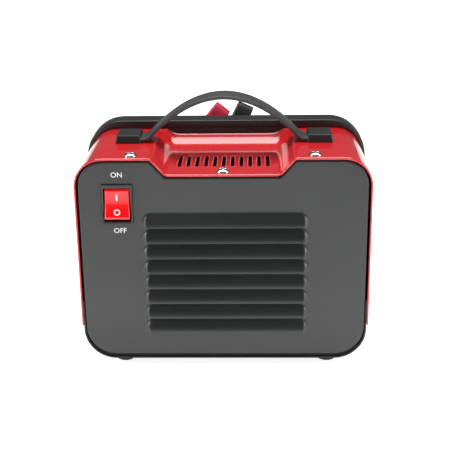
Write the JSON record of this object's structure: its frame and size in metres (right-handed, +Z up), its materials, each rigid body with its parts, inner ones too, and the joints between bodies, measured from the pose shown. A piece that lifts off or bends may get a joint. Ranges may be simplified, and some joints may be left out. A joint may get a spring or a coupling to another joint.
{
  "type": "stick welding inverter",
  "caption": "Small steel-cased stick welding inverter with a pressed red cover, louvred grey rear panel, rocker switch, strap handle, front bezel and two insulated clamps on captive leads.",
  "frame": {"origin": "bottom centre of the machine without its leads, on the surface that the feet stand on", "axes": "+Z up; the rear panel with the rocker switch and the louvres faces -Y; the operating front with the knob and clamps faces +Y; +X is to the right when looking at the rear panel"},
  "size_m": [0.237, 0.2547, 0.214],
  "materials": {
    "red_paint": "gloss",
    "dark_paint": "satin",
    "black_paint": "satin",
    "black_plastic": "satin",
    "strap_plastic": "satin",
    "rubber": "matte",
    "nickel": "bright nickel",
    "steel": "plain",
    "aluminium": "extruded",
    "copper": "enamelled copper wire",
    "ferrite": "matte",
    "circuit_board": "solder mask",
    "capacitor_sleeve": "gloss",
    "switch_red": "lit translucent",
    "lamp_green": "translucent",
    "lamp_amber": "translucent",
    "clamp_red": "soft vinyl",
    "clamp_black": "soft vinyl",
    "lead_red": "soft vinyl",
    "lead_black": "soft vinyl"
  },
  "bodies": {
    "root": {"top_cover": "red_paint", "cover_screw_left": "nickel", "cover_screw_right": "nickel", "cover_screw_centre": "nickel", "base_tray": "black_paint", "foot_rear_left": "rubber", "foot_screw_rear_left": "steel", "foot_rear_right": "rubber", "foot_screw_rear_right": "steel", "foot_front_left": "rubber", "foot_screw_front_left": "steel", "foot_front_right": "rubber", "foot_screw_front_right": "steel", "rear_panel": "dark_paint", "edge_trim": "rubber", "switch_housing": "black_plastic", "handle_strap": "strap_plastic", "handle_block_left": "black_plastic", "handle_screw_left": "steel", "handle_block_right": "black_plastic", "handle_screw_right": "steel", "front_panel": "dark_paint", "front_bezel": "black_plastic", "current_potentiometer": "steel", "power_lamp": "lamp_green", "fault_lamp": "lamp_amber", "electrode_lead_gland": "black_plastic", "earth_lead_gland": "black_plastic", "mains_gland": "black_plastic", "parking_bar": "nickel", "electrode_clamp_fixed_jaw": "clamp_red", "electrode_clamp_pin": "nickel", "electrode_clamp_spring": "steel", "earth_clamp_fixed_jaw": "clamp_black", "earth_clamp_pin": "nickel", "earth_clamp_spring": "steel", "fan_frame": "black_plastic", "fan_bracket": "steel", "power_board": "circuit_board", "transformer_core": "ferrite", "transformer_winding": "copper", "output_choke": "copper", "bridge_rectifier": "black_plastic", "bulk_capacitor_1": "capacitor_sleeve", "bulk_capacitor_2": "capacitor_sleeve", "bulk_capacitor_3": "capacitor_sleeve", "transistor_heatsink": "aluminium", "rectifier_heatsink": "aluminium", "control_board": "circuit_board", "electrode_lead": "lead_red", "electrode_lead_coil": "lead_red", "electrode_lead_rise": "lead_red", "earth_lead": "lead_black", "earth_lead_coil": "lead_black", "earth_lead_rise": "lead_black"},
    "switch_rocker": {"switch_rocker": "switch_red"},
    "fan_rotor": {"fan_rotor": "black_plastic"},
    "current_knob": {"current_knob": "black_plastic"},
    "electrode_jaw": {"electrode_clamp_moving_jaw": "clamp_red"},
    "earth_jaw": {"earth_clamp_moving_jaw": "clamp_black"}
  },
  "joints": [
    {"name": "power_switch", "type": "hinge", "parent": "root", "child": "switch_rocker", "pos_m": [-0.0818, -0.07139, 0.1399], "axis": [1, 0, 0], "range_deg": [0, 18]},
    {"name": "fan_spin", "type": "hinge", "parent": "root", "child": "fan_rotor", "pos_m": [0, -0.03739, 0.076], "axis": [0, 1, 0], "continuous": true},
    {"name": "current_setting", "type": "hinge", "parent": "root", "child": "current_knob", "pos_m": [-0.042, 0.03361, 0.082], "axis": [0, 1, 0], "range_deg": [-135, 135]},
    {"name": "electrode_clamp_open", "type": "hinge", "parent": "root", "child": "electrode_jaw", "pos_m": [-0.02912, 0.05761, 0.15172], "axis": [-0.788, 0, 0.6157], "range_deg": [0, 24], "stiffness_Nm_per_rad": 0.6, "springref_deg": -20.05},
    {"name": "earth_clamp_open", "type": "hinge", "parent": "root", "child": "earth_jaw", "pos_m": [-0.00091, 0.05761, 0.14853], "axis": [-0.9063, 0, 0.4226], "range_deg": [0, 24], "stiffness_Nm_per_rad": 0.6, "springref_deg": -20.05}
  ]
}
